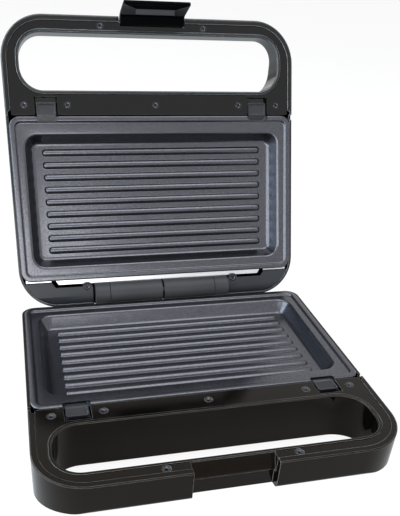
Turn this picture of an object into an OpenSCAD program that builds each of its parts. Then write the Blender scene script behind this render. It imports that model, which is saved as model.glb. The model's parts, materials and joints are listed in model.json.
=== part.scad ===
// Sandwich toaster with two ribbed plates, shown with its lid open.
// Both halves are drawn in one plan: x to the right, y from the hinge axis towards the handle,
// z up from the plane where the halves meet. in_base() and in_lid() put a half in its place.

/* [Casing] */
// Width of both halves
casing_w = 286; // [284:1:290]
// Hinge axis to the front of the handle
casing_l = 261; // [260:0.5:264]
// Depth of the base casing
base_h = 46.7; // [45:0.1:50]
// Depth of the lid casing
lid_h = 40; // [38:0.5:44]
// Corner radius of the handle
front_r = 40; // [36:1:44]
// Radius of the lid's rear corners
lid_rear_r = 38; // [34:1:42]
// Thickness of the casing walls
wall = 2.4; // [2:0.1:2.6]
// Angle between the halves when open
open_angle = 111.2; // [100:0.1:112]

/* [Handle slot] */
// Length of the slot
slot_w = 254; // [250:1:256]
// Rear edge of the slot from the hinge axis
slot_rear = 194.5; // [193.5:0.5:196]
// Front edge of the slot from the hinge axis
slot_front = 245.3; // [244:0.1:246]
// Corner radius of the slot
slot_r = 21; // [16:1:24]

/* [Plates] */
// Width of a grill plate
plate_w = 281; // [279:0.5:281]
// Rear edge of a plate from the hinge axis
plate_rear = 15.2; // [15:0.1:16]
// Front edge of a plate from the hinge axis
plate_front = 171.5; // [170:0.5:171.5]
// Depth of the tray floor below the meeting plane
tray_depth = 14.2; // [12:0.1:15]
// Number of ribs
rib_count = 9; // [5:1:9]
// Length of a rib
rib_l = 224; // [180:1:226]
// Distance between ribs
rib_pitch = 11.8; // [9:0.1:12]

/* [Hinge] */
// Height of the hinge axis above the meeting plane
axis_h = 3.3; // [3:0.1:3.6]
// Radius of the hinge knuckles
knuckle_r = 10.6; // [10:0.1:10.8]
// Radius of the hinge pin
pin_r = 2.5; // [2:0.1:3]
// Half length of the hinge
hinge_half = 69.5; // [66:0.5:70]

/* [Release clips] */
// Width of a clip's button
clip_w = 17.8; // [16:0.1:18]
// Distance that a clip slides to free its plate
clip_travel = 4.7; // [4.4:0.1:4.7]

/* [Hidden] */
$fn = 64;
gap = 0.3;                      // clearance between separate pieces
fit = 0.05;                     // running clearance of a pin
half_w = casing_w / 2;
foot_h = 5;
hinge_z = foot_h + base_h + axis_h;
far = 400;                      // longer than anything it cuts

knee = 181;                     // where the underside starts to rise towards the handle
base_front_h = 26.2;            // height of the base handle's front wall
lid_front_h = 9.6;              // height of the lid handle's front wall
// how far the open lid reaches behind the hinge, and the shift that centres the toaster
lid_reach = -casing_l * cos(open_angle) + (lid_front_h - axis_h) * sin(open_angle);
hinge_y = (casing_l - lid_reach) / 2;
base_rear = 12.5;
lid_rear = -11;
base_rear_r = 12;
band = 5;                       // gloss band round the satin frame
rim = 3;                        // gloss rim round the slot
frame_rear = 172.2;
frame_z = -0.9;                 // upper face of the frame
frame_t = 2.2;
bay_wall = 2.2;                 // wall beside the plate
bay_front = 171.7;
plate_r = 9.5;
side_rim_z = -1.5;              // the rim beside the plate is lower
notch_rear = 167.5;             // notch in the rim where the frame starts

plate_t = 2.4;
rim_depth = 2.1;                // depth of the plate's flat border
lip_inset = 6.2;                // width of the raised edge round a plate
lip_slope = 1.2;                // how far the edge's inner side slopes
tray_half = 128;
tray_rear = 28.5;
tray_front = 155;
tray_r = 12.5;
wall_inset = 7.1;               // how far the tray's walls slope in
rib_r = 3.1;
rib_rise = 2.5;

side_screw_x = 125.45;
inner_screw_x = 85.14;
rear_screw_y = 181.5;
bar_screw_x = 50.18;
bar_screw_y = 252.3;
screw_head_r = 2.75;
screw_r = 1.3;
edge = 0.8;                     // bevel round the casings' open side
fine_edge = 0.4;

clip_x = 105.2;                 // centre of a release clip
clip_rear = frame_rear + 0.2;
clip_front = 184;
clip_top = -1;
clip_floor = -3.6;
foot_z = [-5, -3.4];            // sliding foot of a clip
tab_y = [174.4, 178];           // tab that pushes on the spring
opening_front = 189;            // end of the opening that the clip slides in
guide_y = [tab_y[1] + clip_travel + 0.6, 191.9];
guide_z = -5.3;
spring_z = -8.4;
spring_r = 1.7;
spring_wire = 0.35;
spring_y = [177.3, 190.7];

recess_half = 32.2;             // half width of the latch recess
recess_back = 250.4;            // rear of the solid that the recess is cut into
ramp_y = 253.9;                 // catch edge at the foot of the ramp
ramp_z = [-13.8, -12.3];
base_recess_y = 252.8;          // recessed face under the ramp
lid_recess_y = 252.4;
latch_y = 256.5;                // latch pivot
latch_z = -6.5;
latch_half = 31;
latch_pin_r = 1.2;
latch_pin_half = 36.5;

strip_y = 10.7;                 // rear edge of the reflector's bright strip
strip_half = 108;
side_strip_x = [112, 137];      // shorter strips beside it
side_strip_y = 13.6;
deck_z = -1.7;                  // upper face of the lid's rear deck
deck_t = 2.7;
deck_crease = -1.2;             // where the deck starts to fall away
deck_screw = [77, 7.6];
reflector_z = -4.6;             // upper face of the reflector's flange
reflector_t = 0.8;
reflector_floor = -25.5;
heater_r = 3.2;
heater_z = -20.1;
heater_bend_r = 32;
heater_y = 92;

screw_places = [
    [-side_screw_x, rear_screw_y], [side_screw_x, rear_screw_y],
    [-inner_screw_x, rear_screw_y], [inner_screw_x, rear_screw_y], [0, rear_screw_y],
    [-bar_screw_x, bar_screw_y], [bar_screw_x, bar_screw_y]
];
post_places = [[-92, 46], [92, 46], [-92, 138], [92, 138]];
foot_places = [[-112, 27], [112, 27], [-112, 168], [112, 168]];
bottom_screw_places = [[-88, 26], [88, 26], [-60, 168], [60, 168]];
hinge_screw_places = [14, 42];  // out from the middle, on both sides
hinge_screw_z = -28;
vent_rows = 4;
vent_pitch = 10;
vent_start = [40, 52];          // middle of the first vent slot
cord_x = 106;
cord_z = -28;
cord_r = 3.6;
foot_r = 8;
lamp_x = 9;
lamp_y = 150;
lamp_r = 3;

// ---- places of the two halves

module in_base() {
    translate([0, hinge_y, hinge_z - axis_h]) mirror([0, 1, 0]) children();
}

module in_lid() {
    translate([0, hinge_y, hinge_z]) rotate([-open_angle, 0, 0])
        translate([0, 0, -axis_h]) mirror([0, 1, 0]) mirror([0, 0, 1]) children();
}

// ---- outline helpers

function unit(a) = a / norm(a);
function half_turn(a, b) = acos(unit(a) * unit(b)) / 2;
function corner_ends(p, c, n, r) = r == 0 ? [c] :
    let (t = r / tan(half_turn(p - c, n - c))) [c + t * unit(p - c), c + t * unit(n - c)];
function corner_centre(p, c, n, r) =
    c + unit(unit(p - c) + unit(n - c)) * r / sin(half_turn(p - c, n - c));

// A convex polygon whose corners are true arcs
module rounded(points, radii) {
    last = len(points) - 1;
    before = [for (i = [0 : last]) points[i == 0 ? last : i - 1]];
    after = [for (i = [0 : last]) points[i == last ? 0 : i + 1]];
    polygon([for (i = [0 : last]) each corner_ends(before[i], points[i], after[i], radii[i])]);
    for (i = [0 : last]) if (radii[i] > 0)
        translate(corner_centre(before[i], points[i], after[i], radii[i])) circle(radii[i]);
}

// A plan outline with one radius at the rear and one at the front
module plan(half, rear, front, rear_r, front_r) {
    rounded([[-half, rear], [half, rear], [half, front], [-half, front]],
            [rear_r, rear_r, front_r, front_r]);
}

module prism(low, high) {
    translate([0, 0, low]) linear_extrude(high - low) children();
}

// A plan outline drawn up from low to high, with its upper edge bevelled by d
module bevelled_plan(half, rear, front, rear_r, front_r, low, high, d) {
    middle = (rear + front) / 2;
    prism(low, high - d) plan(half, rear, front, rear_r, front_r);
    along_x(2 * (half - rear_r))
        polygon([[middle, high - d], [rear, high - d], [rear + d, high], [middle, high]]);
    along_x(2 * (half - front_r))
        polygon([[middle, high - d], [front, high - d], [front - d, high], [middle, high]]);
    along_y(rear + rear_r, front - front_r)
        polygon([[-half, high - d], [half, high - d], [half - d, high], [-half + d, high]]);
    for (x = [-1, 1]) {
        translate([x * (half - rear_r), rear + rear_r, high - d])
            cylinder(r1 = rear_r, r2 = rear_r - d, h = d);
        translate([x * (half - front_r), front - front_r, high - d])
            cylinder(r1 = front_r, r2 = front_r - d, h = d);
    }
}

// A profile in y and z, drawn out along x on both sides of the middle
module along_x(length, at = 0) {
    translate([at, 0, 0]) rotate([90, 0, 90]) linear_extrude(length, center = true) children();
}

// A profile in x and z, drawn out along y
module along_y(low, high) {
    translate([0, high, 0]) rotate([90, 0, 0]) linear_extrude(high - low) children();
}

module block(x0, x1, y0, y1, z0, z1) {
    translate([x0, y0, z0]) cube([x1 - x0, y1 - y0, z1 - z0]);
}

module both_sides() {
    children();
    mirror([1, 0, 0]) children();
}

// ---- casings

function rise(depth, front_h) = (depth - front_h) / (casing_l - knee);
function knee_in(depth, front_h, d) =
    let (m = rise(depth, front_h)) knee - d * (sqrt(1 + m * m) - 1) / m;
function front_in(depth, front_h, d) =
    let (m = rise(depth, front_h)) -front_h - d * m + d * sqrt(1 + m * m);

// Side view of a casing, set in by d on every side but the open one
module side_view(depth, front_h, rear, back_r, d, top) {
    rounded([[rear + d, top], [rear + d, -depth + d], [knee_in(depth, front_h, d), -depth + d],
             [casing_l - d, front_in(depth, front_h, d)], [casing_l - d, top]],
            [0, max(back_r - d, 1), 0, max(4 - d, 1), 0]);
}

// End view of a casing with its long edges rounded
module end_view(depth, edge_r, d, top) {
    rounded([[-half_w + d, top], [-half_w + d, -depth + d], [half_w - d, -depth + d],
             [half_w - d, top]], [0, edge_r - d, edge_r - d, 0]);
}

module casing_block(depth, front_h, rear, rear_r, edge_r) {
    intersection() {
        bevelled_plan(half_w, rear, casing_l, rear_r, front_r, -depth - 1, -gap, edge);
        along_x(far) side_view(depth, front_h, rear, edge_r, 0, 5);
        along_y(-50, far) end_view(depth, edge_r, 0, 5);
    }
}

module slot_plan(d) {
    plan(slot_w / 2 + d, slot_rear - d, slot_front + d, slot_r + d, slot_r + d);
}

// Bevel round the slot's upper edge, cut from a face at the height top
module slot_edge(d, top, bevel) {
    e = d + bevel + 0.1;
    tray(slot_w / 2 + e, slot_rear - e, slot_front + e, slot_r + e, top + 0.1, top - bevel, bevel + 0.1);
}

module frame_plan(d) {
    plan(half_w - band - d, frame_rear + d, casing_l - band - d, 2, front_r - band - d);
}

// The space inside a casing: the bay under the plate and the hollow of the handle
module casing_hollow(depth, front_h, rear, rear_r, edge_r) {
    intersection() {
        union() {
            prism(-depth, 2) plan(half_w - bay_wall, rear + bay_wall, bay_front + 5, rear_r, 3);
            prism(-depth, 2) difference() {
                frame_plan(0);
                slot_plan(rim);
            }
        }
        along_x(far) side_view(depth, front_h, rear, edge_r, wall, 5);
        along_y(-50, far) end_view(depth, edge_r, wall, 5);
    }
}

// Posts that the frame's screws go into, from the casing's wall up to the frame
module screw_posts(depth) {
    for (p = screw_places) translate([p[0], p[1], -depth])
        cylinder(r = 3.2, h = depth + frame_z - frame_t);
}

module reflector_posts(depth) {
    for (p = post_places) translate([p[0], p[1], -depth + 1])
        cylinder(r = 3.5, h = depth - 1 + reflector_floor - reflector_t);
}

module casing_cuts() {
    prism(-far, far) slot_plan(0);
    slot_edge(0, -gap, edge);
    for (p = screw_places) translate([p[0], p[1], -10]) cylinder(r = screw_r, h = 12);
    block(-far, far, -60, bay_front - 1.2, side_rim_z, 5);
    both_sides() block(half_w - band - 1, far, notch_rear, frame_rear, -4, 5);
}

// Shelf under a release clip, with a guide at its end that holds the spring
module clip_shelf() {
    both_sides() translate([clip_x, 0, 0]) {
        block(-13, 13, frame_rear + 1, guide_y[1], -13, -11);
        difference() {
            block(-13, 13, guide_y[0], guide_y[1], -11.1, guide_z);
            translate([0, guide_y[0] - 1, spring_z]) rotate([-90, 0, 0])
                cylinder(r = spring_r + 0.7, h = guide_y[1] - guide_y[0] + 0.3);
        }
    }
}

module base_shell() color([0.04, 0.04, 0.045]) in_base() {
    difference() {
        union() {
            difference() {
                casing_block(base_h, base_front_h, base_rear, base_rear_r, 9);
                casing_hollow(base_h, base_front_h, base_rear, plate_r - 0.5, 9);
            }
            intersection() {
                union() {
                    screw_posts(base_h);
                    reflector_posts(base_h);
                    clip_shelf();
                    block(-recess_half - 4.6, recess_half + 4.6, recess_back, casing_l - 1, -base_h, -gap);
                    for (p = bottom_screw_places) translate([p[0], p[1], -base_h])
                        cylinder(r = 5, h = 14);
                }
                casing_block(base_h, base_front_h, base_rear, base_rear_r, 9);
            }
        }
        casing_cuts();
        // latch recess: room for the frame's ramp above, the recessed face below
        block(-recess_half, recess_half, base_recess_y, far, -far, far);
        block(-recess_half - 2.6, recess_half + 2.6, slot_front + rim, casing_l - band,
              ramp_z[0] - gap, far);
        block(-recess_half - 6, recess_half + 6, slot_front + rim, casing_l - band, frame_z - frame_t, far);
        // sockets for the feet, bottom screws and the cord outlet
        for (p = foot_places) translate([p[0], p[1], -base_h - 1])
            cylinder(r = foot_r + 0.2, h = 2);
        for (p = bottom_screw_places) translate([p[0], p[1], -base_h - 1]) {
            cylinder(r = screw_r, h = 14);
            cylinder(r = 3.4, h = 3.7);
        }
        translate([cord_x, 0, cord_z]) rotate([-90, 0, 0]) cylinder(r = 6, h = 20);
        both_sides() for (x = hinge_screw_places) translate([x, 5, hinge_screw_z]) rotate([-90, 0, 0])
            cylinder(r = screw_r, h = 12);
        // vents in the underside
        both_sides() for (i = [0 : vent_rows - 1])
            translate([vent_start[0], vent_start[1] + i * vent_pitch, -base_h - 1])
                prism(0, wall + 2) plan(24, -2, 2, 1.9, 1.9);
    }
}

module lid_shell() color([0.04, 0.04, 0.045]) in_lid() {
    difference() {
        union() {
            difference() {
                casing_block(lid_h, lid_front_h, lid_rear, lid_rear_r, 15);
                casing_hollow(lid_h, lid_front_h, lid_rear, lid_rear_r - bay_wall, 15);
            }
            intersection() {
                union() {
                    screw_posts(lid_h);
                    reflector_posts(lid_h);
                    clip_shelf();
                    block(-latch_pin_half - 1, latch_pin_half + 1, recess_back, casing_l - 1, -lid_h, -gap);
                    both_sides() translate([deck_screw[0], deck_screw[1], -lid_h])
                        cylinder(r = 2.9, h = lid_h + deck_z - deck_t - 0.1);
                }
                casing_block(lid_h, lid_front_h, lid_rear, lid_rear_r, 15);
            }
        }
        casing_cuts();
        block(-latch_pin_half - 1.2, latch_pin_half + 1.2, recess_back, casing_l - band,
              frame_z - frame_t, far);
        block(-recess_half, recess_half, lid_recess_y, far, -far, far);
        translate([0, latch_y, latch_z]) rotate([0, 90, 0])
            cylinder(r = latch_pin_r + fit, h = 2 * latch_pin_half, center = true);
        // opening in the rear wall for the hinge
        translate([0, 0, -axis_h]) rotate([0, 90, 0])
            cylinder(r = knuckle_r + 1.6, h = 2 * hinge_half + 3.4, center = true);
        block(-hinge_half - 1.7, hinge_half + 1.7, -far, 8, -axis_h, far);
        both_sides() translate([lamp_x, lamp_y, -lid_h - 1]) cylinder(r = lamp_r + 0.2, h = 5);
        both_sides() translate([deck_screw[0], deck_screw[1], -12]) cylinder(r = screw_r, h = 10);
    }
}

// ---- satin frames

// Opening for a release clip, with sides that slope in
module clip_opening() {
    low = clip_w / 2 + 0.4;
    high = low + 1.3;
    along_y(frame_rear - 1, opening_front)
        polygon([[-low, -9], [-low, frame_z - frame_t], [-high, frame_z], [-high, 1],
                 [high, 1], [high, frame_z], [low, frame_z - frame_t], [low, -9]]);
}

module frame_plate() {
    difference() {
        bevelled_plan(half_w - band - 0.15, frame_rear + 0.15, casing_l - band - 0.15, 2,
                      front_r - band - 0.15, frame_z - frame_t, frame_z, fine_edge);
        prism(-far, far) slot_plan(rim + 0.15);
        slot_edge(rim + 0.15, frame_z, fine_edge);
        both_sides() translate([clip_x, 0, 0]) clip_opening();
        for (p = screw_places) translate([p[0], p[1], 0]) {
            translate([0, 0, frame_z - 0.5]) cylinder(r = 3.5, h = 5);
            translate([0, 0, frame_z - 4]) cylinder(r = 1.6, h = 5);
            translate([0, 0, frame_z - 1.7]) cylinder(r = screw_head_r + 0.15, h = 5);
        }
    }
    // skirt between the plate and the handle
    for (x = [[-136, -119], [-92, 92], [119, 136]])
        block(x[0], x[1], frame_rear + 0.15, frame_rear + 1.8, -9, frame_z - 0.1);
}

module base_frame() color([0.13, 0.125, 0.12]) in_base() {
    difference() {
        frame_plate();
        block(-recess_half, recess_half, slot_front + rim, far, -far, far);
    }
    // ramp that the latch slides over, with its catch edge
    y0 = slot_front + rim + 0.25;
    along_x(2 * recess_half + 3)
        polygon([[y0, frame_z], [y0 + 0.6, frame_z], [ramp_y, ramp_z[1]], [ramp_y, ramp_z[0]],
                 [ramp_y - 1.5, ramp_z[0]], [y0, -5]]);
    both_sides() along_x(1.5, recess_half + 0.75)
        polygon([[y0, frame_z], [casing_l - band - 0.2, frame_z], [casing_l - band - 0.2, ramp_z[0]],
                 [ramp_y - 1.5, ramp_z[0]], [y0, -5]]);
}

module lid_frame() color([0.13, 0.125, 0.12]) in_lid() {
    difference() {
        frame_plate();
        block(-recess_half, recess_half, lid_recess_y, far, -far, far);
    }
}

// ---- screws

module cross_screw(length, head_r = screw_head_r) {
    dome_h = 1.1;
    dome_r = 4;
    difference() {
        union() {
            rotate_extrude() intersection() {
                translate([0, dome_h - dome_r]) circle(dome_r);
                translate([0, -0.5]) square([head_r, 3]);
            }
            translate([0, 0, -length]) cylinder(r = screw_r - 0.05, h = length);
        }
        for (a = [0, 90]) rotate([0, 0, a]) translate([-1.6, -0.35, 0.2]) cube([3.2, 0.7, 3]);
    }
}

module frame_screws() {
    for (p = screw_places) translate([p[0], p[1], frame_z - 1.2]) cross_screw(7.5);
}

module base_frame_screws() color([0.2, 0.2, 0.21]) in_base() frame_screws();
module lid_frame_screws() color([0.2, 0.2, 0.21]) in_lid() frame_screws();

module lid_deck_screws() color([0.15, 0.15, 0.16]) in_lid()
    both_sides() translate([deck_screw[0], deck_screw[1], deck_z - 1.1]) cross_screw(7);

module base_bottom_screws() color([0.2, 0.2, 0.21]) in_base()
    for (p = bottom_screw_places) translate([p[0], p[1], -base_h + 2.2])
        rotate([180, 0, 0]) cross_screw(10);

module hinge_screws() color([0.3, 0.3, 0.31]) in_base()
    both_sides() for (x = hinge_screw_places) translate([x, base_rear - 4.2, hinge_screw_z])
        rotate([90, 0, 0]) cross_screw(8);

// ---- plates

// A tray shape: sloping walls on all four sides and cone corners
module tray(half, rear, front, r, top, floor, inset) {
    centre = (rear + front) / 2;
    long = (front - rear) / 2;
    translate([0, centre, 0]) {
        along_x(2 * (half - r))
            polygon([[-long, top], [long, top], [long - inset, floor], [-long + inset, floor]]);
        along_y(-long + r, long - r)
            polygon([[-half, top], [half, top], [half - inset, floor], [-half + inset, floor]]);
        for (x = [-1, 1], y = [-1, 1]) translate([x * (half - r), y * (long - r), floor])
            cylinder(r1 = r - inset, r2 = r, h = top - floor);
    }
}

// One rib, a bar with round ends lying along x
module rib(length, r) {
    rotate([0, 90, 0]) rotate_extrude() intersection() {
        union() {
            square([2 * r, length - 2 * r], center = true);
            for (y = [-1, 1]) translate([0, y * (length / 2 - r)]) circle(r);
        }
        translate([0, -length]) square([2 * r, 2 * length]);
    }
}

module grill_plate() {
    difference() {
        union() {
            bevelled_plan(plate_w / 2, plate_rear, plate_front, plate_r, plate_r,
                          -rim_depth - plate_t, -gap, fine_edge);
            tray(tray_half + 2.2, tray_rear - 2.2, tray_front + 2.2, tray_r + 2.2,
                 -rim_depth - 1, -tray_depth - plate_t, wall_inset);
        }
        tray(plate_w / 2 - lip_inset + lip_slope, plate_rear + lip_inset - lip_slope,
             plate_front - lip_inset + lip_slope, 6 + lip_slope, 0.6, -rim_depth, lip_slope);
        tray(tray_half, tray_rear, tray_front, tray_r, -rim_depth, -tray_depth, wall_inset);
        // the front edge is cut down under the release clips
        both_sides() translate([clip_x, 0, 0]) prism(-3.1, 5)
            polygon([[-11, 180], [-11, 168.9], [-8.5, 166.4], [8.5, 166.4], [11, 168.9], [11, 180]]);
    }
    middle = (tray_rear + tray_front) / 2;
    intersection() {
        for (i = [0 : rib_count - 1])
            translate([0, middle + (i - (rib_count - 1) / 2) * rib_pitch, -tray_depth + rib_rise - rib_r])
                rib(rib_l, rib_r);
        block(-rib_l, rib_l, tray_rear, tray_front, -tray_depth - 1, 0);
    }
    // tongues that hook under the rear edge of the casing
    both_sides() block(60, 84, plate_rear - 0.1, plate_rear + 4, -rim_depth - plate_t - 0.1, -rim_depth);
}

module base_grill_plate() color([0.27, 0.27, 0.3]) in_base() grill_plate();
module lid_grill_plate() color([0.27, 0.27, 0.3]) in_lid() grill_plate();

// ---- reflectors and heaters

// A strip from side to side with its two rear corners cut off
module strip_plan(half, rear, front) {
    polygon([[-half, front], [-half, rear + 4.5], [-half + 3, rear],
             [half - 3, rear], [half, rear + 4.5], [half, front]]);
}

// Heat tray; the lid's one also has bright strips along its rear edge
module reflector(strip) {
    low = reflector_floor - reflector_t;
    difference() {
        union() {
            prism(reflector_z - reflector_t, reflector_z) {
                plan(plate_w / 2 - 0.5, plate_rear + 0.1, bay_front - 0.8, plate_r, plate_r);
                if (strip) {
                    strip_plan(strip_half, strip_y, 20);
                    both_sides() translate([side_strip_x[0], side_strip_y])
                        square([side_strip_x[1] - side_strip_x[0], 20 - side_strip_y]);
                }
            }
            tray(134.8, 21, 163.5, 14, reflector_z - 0.2, low, 4);
        }
        tray(134, 21.8, 162.7, 13.2, reflector_z + 0.1, reflector_floor, 4);
        for (p = post_places) translate([p[0], p[1], low - 1]) cylinder(r = 1.6, h = 4);
    }
    // pressed saddles that carry the heating element
    for (x = [-60, 60], y = [-1, 1]) difference() {
        block(x - 5, x + 5, heater_y + y * heater_bend_r - 4, heater_y + y * heater_bend_r + 4,
              reflector_floor - 0.2, heater_z);
        translate([x, heater_y + y * heater_bend_r, heater_z]) rotate([0, 90, 0])
            cylinder(r = heater_r + fit, h = 20, center = true);
    }
}

module base_reflector() color([0.8, 0.81, 0.83]) in_base() reflector(false);
module lid_reflector() color([0.8, 0.81, 0.83]) in_lid() reflector(true);

// Tubular element bent into a U, with a connection pin at each end
module heater() translate([0, heater_y, heater_z]) {
    for (y = [-1, 1]) translate([0, y * heater_bend_r, 0]) rotate([0, 90, 0]) {
        translate([0, 0, -70]) cylinder(r = heater_r, h = 170);
        translate([0, 0, 95]) cylinder(r = 1.5, h = 15);
    }
    translate([-70, 0, 0]) rotate([0, 0, 90]) rotate_extrude(angle = 180)
        translate([heater_bend_r, 0]) circle(heater_r);
}

module base_heater() color([0.45, 0.43, 0.4]) in_base() heater();
module lid_heater() color([0.45, 0.43, 0.4]) in_lid() heater();

// ---- hinge

module knuckle(x0, x1) {
    translate([x0, 0, 0]) rotate([0, 90, 0]) difference() {
        cylinder(r = knuckle_r, h = x1 - x0);
        translate([0, 0, -1]) cylinder(r = pin_r + fit, h = x1 - x0 + 2);
    }
}

module knuckle_row(x0, x1, arm) {
    difference() {
        union() {
            knuckle(x0, x1);
            along_x(x1 - x0, (x0 + x1) / 2) polygon(arm);
        }
        translate([x0 - 1, 0, 0]) rotate([0, 90, 0]) cylinder(r = pin_r + fit, h = x1 - x0 + 2);
    }
}

module hinge_bracket() color([0.22, 0.22, 0.23]) in_base() difference() {
    translate([0, 0, axis_h]) {
        both_sides() knuckle_row(1, 54.5, [[3, -8], [3, -34], [6, -38], [base_rear, -38],
                                           [base_rear, -12], [9, -6]]);
        block(-2, 2, 7, base_rear, -38, -16);
    }
    both_sides() for (x = hinge_screw_places) translate([x, 0, hinge_screw_z]) rotate([-90, 0, 0]) {
        cylinder(r = screw_r, h = 20);
        cylinder(r = 3.3, h = base_rear - 3.2);
    }
}

module lid_knuckles() color([0.22, 0.22, 0.23]) in_lid()
    translate([0, 0, -axis_h]) both_sides()
        knuckle_row(54.9, hinge_half, [[-5.5, -8], [-5.5, -27], [4, -34.3], [16, -34.3],
                                           [16, -30], [6, -24], [8, -6]]);

module hinge_pin() color([0.6, 0.6, 0.62]) in_base()
    translate([0, 0, axis_h]) rotate([0, 90, 0]) cylinder(r = pin_r, h = 2 * hinge_half - 1, center = true);

module deck_plan() {
    inset = bay_wall + 0.2;
    difference() {
        plan(half_w - inset, lid_rear + inset, 60, lid_rear_r - inset, 2);
        translate([-hinge_half - 1.9, -40]) square([2 * hinge_half + 3.8, 100]);
        translate([-far, side_strip_y - 0.4]) square([2 * far, 100]);
        strip_plan(strip_half + 3.2, strip_y - 2.7, 40);
    }
    boss = 4.4;
    both_sides() translate([deck_screw[0], 0])
        rounded([[-boss, 3], [boss, 3], [boss, deck_screw[1] + boss], [-boss, deck_screw[1] + boss]],
                [0, 0, 3.6, 3.6]);
}

module lid_rear_deck() color([0.2, 0.21, 0.23]) in_lid()
    difference() {
        intersection() {
            prism(-20, 5) deck_plan();
            along_x(far)
                polygon([[20, deck_z], [deck_crease, deck_z], [-9, -4.6], [-9, -7.6],
                         [deck_crease - 0.4, deck_z - deck_t], [20, deck_z - deck_t]]);
        }
        both_sides() translate([deck_screw[0], deck_screw[1], -20]) cylinder(r = 1.6, h = 30);
        both_sides() translate([deck_screw[0], deck_screw[1], deck_z - 1.7]) cylinder(r = 3.4, h = 20);
    }

// ---- release clips

// Button with a dished face, a tongue over the plate and a foot under the frame
module release_clip() {
    half = clip_w / 2;
    difference() {
        prism(clip_floor, clip_top)
            rounded([[-half, clip_rear], [half, clip_rear], [half, clip_front], [-half, clip_front]],
                    [0, 0, 2, 2]);
        // the face falls away towards the handle, where a finger pushes
        along_x(clip_w - 2.4)
            polygon([[clip_rear + 1.2, clip_top - 0.5], [clip_front - 1.2, clip_top - 1.9],
                     [clip_front - 1.2, 5], [clip_rear + 1.2, 5]]);
    }
    intersection() {
        along_x(clip_w)
            polygon([[167.2, -2.8], [167.2, -2.4], [clip_rear + 0.1, clip_top - 0.1],
                     [clip_rear + 0.1, -2.8]]);
        prism(-5, 0)
            polygon([[-half + 2.6, 167], [half - 2.6, 167], [half, 169.8], [half, clip_front],
                     [-half, clip_front], [-half, 169.8]]);
    }
    block(-11.5, 11.5, tab_y[0], clip_front, foot_z[0], foot_z[1]);
    difference() {
        block(-5, 5, tab_y[0], tab_y[1], -10.7, foot_z[0] + 0.1);
        translate([0, spring_y[0] - spring_wire - 0.15, spring_z]) rotate([-90, 0, 0])
            cylinder(r = spring_r + 0.7, h = 3);
    }
}

// Round wire wound into a coil that stands on its end
module coil(coil_r, wire_r, length, turns) {
    steps = 12;
    sides = 6;
    rings = turns * steps;
    points = [for (i = [0 : rings], j = [0 : sides - 1])
        let (a = 360 * i / steps, b = 360 * j / sides, r = coil_r + wire_r * cos(b))
        [r * cos(a), r * sin(a), length * i / rings + wire_r * sin(b)]];
    skin = [for (i = [0 : rings - 1], j = [0 : sides - 1])
        let (k = (j + 1) % sides)
        [i * sides + k, (i + 1) * sides + k, (i + 1) * sides + j, i * sides + j]];
    ends = [[for (j = [0 : sides - 1]) sides - 1 - j],
            [for (j = [0 : sides - 1]) rings * sides + j]];
    polyhedron(points, concat(skin, ends));
}

module return_spring() {
    translate([0, spring_y[0], spring_z]) rotate([-90, 0, 0])
        coil(spring_r, spring_wire, spring_y[1] - spring_y[0], 6);
}

module base_clip_left() color([0.42, 0.42, 0.44]) in_base() translate([-clip_x, 0, 0]) release_clip();
module base_clip_right() color([0.42, 0.42, 0.44]) in_base() translate([clip_x, 0, 0]) release_clip();
module lid_clip_left() color([0.42, 0.42, 0.44]) in_lid() translate([-clip_x, 0, 0]) release_clip();
module lid_clip_right() color([0.42, 0.42, 0.44]) in_lid() translate([clip_x, 0, 0]) release_clip();
module base_spring_left() color("silver") in_base() translate([-clip_x, 0, 0]) return_spring();
module base_spring_right() color("silver") in_base() translate([clip_x, 0, 0]) return_spring();
module lid_spring_left() color("silver") in_lid() translate([-clip_x, 0, 0]) return_spring();
module lid_spring_right() color("silver") in_lid() translate([clip_x, 0, 0]) return_spring();

// ---- latch

module latch() color([0.04, 0.04, 0.05]) in_lid() difference() {
    union() {
        along_x(2 * latch_half) {
            translate([latch_y, latch_z]) circle(3.3);
            polygon([[254.2, -5], [254.9, 0.2], [252.9, 1.1], [252.9, 1.6], [258, 1.9], [260.2, 2.7],
                     [261.3, 4.6], [264.1, 27.2], [265, 28], [266.6, 27.6], [267.6, 26.2], [267.6, 24],
                     [265.6, 8], [264.4, 0], [262, -5], [259, -8.6]]);
        }
        // tooth that catches under the ramp
        along_x(37) polygon([[263.6, 17.6], [258.6, 14.8], [258.6, 14.3], [263.2, 14.3]]);
    }
    translate([0, latch_y, latch_z]) rotate([0, 90, 0])
        cylinder(r = latch_pin_r + fit, h = far, center = true);
}

module latch_pin() color([0.6, 0.6, 0.62]) in_lid()
    translate([0, latch_y, latch_z]) rotate([0, 90, 0])
        cylinder(r = latch_pin_r, h = 2 * latch_pin_half - 0.4, center = true);

// ---- small parts

module rubber_feet() color([0.1, 0.1, 0.1]) in_base()
    for (p = foot_places) translate([p[0], p[1], -base_h + 1]) rotate([180, 0, 0])
        rotate_extrude()
            rounded([[0, 0], [foot_r, 0], [foot_r - 0.8, foot_h + 1], [0, foot_h + 1]], [0, 0, 1.2, 0]);

module cord_gland() color([0.1, 0.1, 0.1]) in_base()
    translate([cord_x, base_rear - 3, cord_z]) rotate([-90, 0, 0]) rotate_extrude()
        polygon([[cord_r, 0], [8, 0], [9, 1], [9, 3], [6, 3], [6, 5.6], [7.5, 5.6], [7.5, 8], [cord_r, 8]]);

module thermostat() color([0.7, 0.7, 0.68]) in_base()
    translate([-30, heater_y, reflector_floor - reflector_t]) rotate([180, 0, 0]) {
        cylinder(r = 8.5, h = 7);
        translate([-7, -2.5, 7]) cube([14, 5, 4]);
    }

module terminal_block() color([0.85, 0.84, 0.8]) in_base()
    difference() {
        block(55, 91, 88, 102, -base_h + wall, -base_h + wall + 12);
        for (x = [61, 73, 85]) translate([x, 95, -base_h + wall + 4]) cylinder(r = 2.5, h = 12);
    }

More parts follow.
